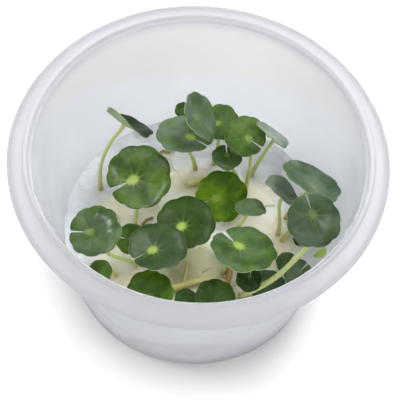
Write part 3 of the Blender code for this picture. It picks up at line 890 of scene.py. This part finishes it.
def add_stem(name, path, sides, widths):
    """Run a round stem through points, each with its radius, and make it a mesh."""
    if len(path) < 5:
        path, widths = with_halves(path), with_halves(widths)
    bpy.ops.object.select_all(action="DESELECT")
    bpy.ops.curve.primitive_nurbs_path_add()
    piece = bpy.context.object
    piece.name = name
    curve = piece.data
    curve.dimensions = "3D"
    curve.bevel_depth = 1.0
    curve.bevel_resolution = sides // 4
    curve.use_fill_caps = True
    curve.resolution_u = 4
    spline = curve.splines[0]
    spline.points.add(len(path) - len(spline.points))
    spline.order_u = 3
    spline.use_endpoint_u = True
    for point, place, width in zip(spline.points, path, widths):
        point.co = (*place, 1.0)
        point.radius = width
        point.tilt = 0.0
    piece.matrix_world = Matrix.Identity(4)
    bpy.ops.object.convert(target="MESH")
    bpy.ops.object.mode_set(mode="EDIT")
    bpy.ops.mesh.select_all(action="SELECT")
    bpy.ops.mesh.remove_doubles(threshold=0.000005)
    bpy.ops.mesh.normals_make_consistent(inside=False)
    bpy.ops.object.mode_set(mode="OBJECT")
    bpy.ops.object.shade_smooth()
    return piece


# %% [markdown]
# All stems are built alike: fine streaks run along them, and their colour changes with height. The
# petioles are beige at the gel and green above it. Light passes a little way through the soft flesh,
# so each stem has a small share of subsurface scattering.

# %% Stem materials
def stem_material(name, low_colour, high_colour, low, high):
    """Return a stem's material, which changes colour with height and has fine streaks."""
    finish, tree, shader = new_material(name)
    place = object_place(tree)
    lengthwise = stretched(tree, place, (1.0, 1.0, 0.25))
    streaks = ramp(tree, speckle(tree, lengthwise, 2200.0, 3.0, 0.6), 0.3, 0.7)
    patches = ramp(tree, speckle(tree, place, 260.0, 3.0), 0.3, 0.7, -0.25, 0.25)
    height = ramp(tree, axes(tree, place)["Z"], low, high)
    height = math_node(tree, "ADD", height, patches, clamp=True)
    shade = mix_colours(tree, height, low_colour, high_colour)
    shade = mix_colours(tree, math_node(tree, "MULTIPLY", streaks, 0.3), shade, colour(206, 214, 150))
    tree.links.new(shade, shader.inputs["Base Color"])
    tree.links.new(ramp(tree, streaks, 0.0, 1.0, 0.34, 0.46), shader.inputs["Roughness"])
    tree.links.new(bump(tree, streaks, 0.00008, 0.6), shader.inputs["Normal"])
    shader.inputs["Subsurface Weight"].default_value = 0.15
    shader.inputs["Subsurface Radius"].default_value = (0.0006, 0.0008, 0.0003)
    shader.inputs["Subsurface Scale"].default_value = 1.0
    return finish


petiole_finish = stem_material("petiole", colour(198, 182, 112), colour(190, 206, 124), 0.0205, 0.026)
runner_finish = stem_material("creeping stem", colour(194, 178, 108), colour(202, 214, 140), 0.0205, 0.026)
print("stem materials:", petiole_finish.name, "and", runner_finish.name)

# %% Stems in their places
STEM_SIDES = 12
INTO_GEL = 0.0009
INTO_BLADE = 0.00045
FOOT_SWELL = 1.35
TIP_SWELL = 1.45
for name, path in paths.items():
    places = [centre for centre, width in path]
    widths = [width for centre, width in path]
    is_petiole = name.startswith("petiole_")
    if is_petiole:
        end = (places[-1] - places[-2]).normalized()
        places[0] = places[0] - Vector((0.0, 0.0, INTO_GEL))
        places[-1] = places[-1] + end * INTO_BLADE
        widths[0] *= FOOT_SWELL
        widths[-1] *= TIP_SWELL
    piece = add_stem(name + "_stalk", places, STEM_SIDES, widths)
    piece.data.materials.append(petiole_finish if is_petiole else runner_finish)
    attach(piece, "root")
    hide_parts(name)
print("stems:", len(paths))

# %% [markdown]
# Between the big leaves there are a few things that are too small to be solids of their own: tiny
# shaded leaves on short stalks, a folded young leaf that hangs from the end of the rising stem, an
# old brown stub, side shoots and fine roots on the gel. The helpers above make them all again at a
# smaller size, so only their places are new. Heights are kept so that each one stands on the gel.

# %% Standing a small leaf
SMALL_SIDES = 8
SMALL_LOBES = 6
STALK_WIDTHS = [0.00036, 0.00030, 0.00028, 0.00036]


def lean_toward(place, lean, lean_to, notch_to):
    """Return a pose that leans by one angle toward a second, with its notch toward a third."""
    lean, lean_to, notch_to = math.radians(lean), math.radians(lean_to), math.radians(notch_to)
    aside = math.sin(lean)
    upright = Vector((aside * math.cos(lean_to), aside * math.sin(lean_to), math.cos(lean)))
    toward_notch = Vector((math.cos(notch_to), math.sin(notch_to), 0.0))
    along = (upright * toward_notch.dot(upright) - toward_notch).normalized()
    return standing(place, along, upright)


def add_small_leaf(name, number, place, foot, radius, angles, fold, look):
    """Stand a small leaf on a stalk of its own that starts at its foot."""
    place, foot = Vector(place), Vector(foot)
    pose = lean_toward(place, *angles)
    blade = add_blade(name, pose, radius, fold, SMALL_LOBES, number, math.radians(look[-1]))
    finish_blade(blade, SMALL_LOBES, look)
    under = place - pose.to_3x3() @ Vector((0.0, 0.0, 0.0012))
    tip = place - pose.to_3x3() @ Vector((0.0, 0.0, 0.0001))
    bend = foot.lerp(under, 0.55) + Vector((0.0004, 0.0004, 0.0))
    stalk = add_stem(name + "_stalk", [foot, bend, under, tip], SMALL_SIDES, STALK_WIDTHS)
    stalk.data.materials.append(petiole_finish)
    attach(stalk, "root")


# %% Small leaves
# Each row gives the name, the number of its crinkle, the place, the foot, the radius, the three
# angles in degrees, the fold, and the same looks as in the table above.
# The darker of these looks hold painted shade, for small leaves that lie in the shadow of the big ones.
shaded = (0.10, 0.25, 0.0, 0.55, 0.1, 4)
dark_and_shaded = (0.05, 0.00, 0.0, 0.85, 0.1, 5)
fresh_but_shaded = (0.30, 0.10, 0.1, 0.35, 0.1, 4)
pale_green = (1.0, 0.0, 0.0, 0.0, 0.1, 3)
rise_end = paths["runner_right"][-1][0]
SMALL_LEAVES = [
    ("small_leaf_right", 56, (0.0285, 0.0002, 0.0240), (0.0278, 0.0008, 0.0192), 0.0018,
     (12, -90, 60), 0.1, shaded),
    ("small_leaf_low", 54, (0.0300, -0.0039, 0.0230), (0.0290, -0.0030, 0.0192), 0.0021,
     (14, -60, 150), 0.1, dark_and_shaded),
    ("small_leaf_back", 55, (-0.0052, 0.0268, 0.0400), (-0.0056, 0.0285, 0.0192), 0.0024,
     (30, -90, 60), 0.1, fresh_but_shaded),
    ("young_folded_leaf", 57, (0.0344, -0.0138, 0.0349), rise_end, 0.0021,
     (118, -40, 10), 0.9, pale_green),
]
for row in SMALL_LEAVES:
    add_small_leaf(*row)
print("small leaves:", [row[0] for row in SMALL_LEAVES])

# %% Stubs, shoots and roots on the gel
old_stem = stem_material("old brown stem", colour(126, 88, 34), colour(168, 132, 66), 0.0200, 0.0215)
root_finish = stem_material("fine root", colour(188, 170, 150), colour(214, 204, 180), 0.0198, 0.0206)
LOW_STEMS = [
    ("old_stub", old_stem, 0.00075,
     [(0.0108, -0.0128, 0.0204), (0.0106, -0.0165, 0.0208), (0.0100, -0.0200, 0.0204)]),
    ("side_shoot", petiole_finish, 0.00045,
     [(-0.0012, -0.0118, 0.0201), (-0.0016, -0.0160, 0.0206), (-0.0022, -0.0200, 0.0203)]),
    ("pale_shoot", petiole_finish, 0.00030,
     [(0.0195, -0.0128, 0.0199), (0.0198, -0.0150, 0.0208), (0.0200, -0.0172, 0.0202)]),
    ("brown_stub_left", old_stem, 0.00045,
     [(-0.0152, -0.0008, 0.0199), (-0.0140, 0.0006, 0.0206), (-0.0123, 0.0018, 0.0200)]),
    ("brown_stub_back", old_stem, 0.00040,
     [(-0.0128, 0.0230, 0.0199), (-0.0118, 0.0242, 0.0206), (-0.0108, 0.0254, 0.0200)]),
    ("root_centre", root_finish, 0.00014,
     [(0.0190, 0.0074, 0.0201), (0.0204, 0.0082, 0.0202), (0.0232, 0.0086, 0.0200)]),
    ("root_back", root_finish, 0.00012,
     [(-0.0104, 0.0232, 0.0201), (-0.0082, 0.0222, 0.0202), (-0.0080, 0.0200, 0.0202),
      (-0.0068, 0.0184, 0.0200)]),
    ("root_left", root_finish, 0.00012,
     [(-0.0190, -0.0040, 0.0201), (-0.0214, -0.0020, 0.0202), (-0.0222, 0.0014, 0.0201)]),
    ("root_front", root_finish, 0.00014,
     [(0.0030, -0.0150, 0.0201), (0.0052, -0.0132, 0.0202), (0.0058, -0.0100, 0.0201)]),
]
for name, finish, width, places in LOW_STEMS:
    piece = add_stem(name, [Vector(place) for place in places], SMALL_SIDES, [width] * len(places))
    piece.data.materials.append(finish)
    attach(piece, "root")
print("low stems and roots:", len(LOW_STEMS))
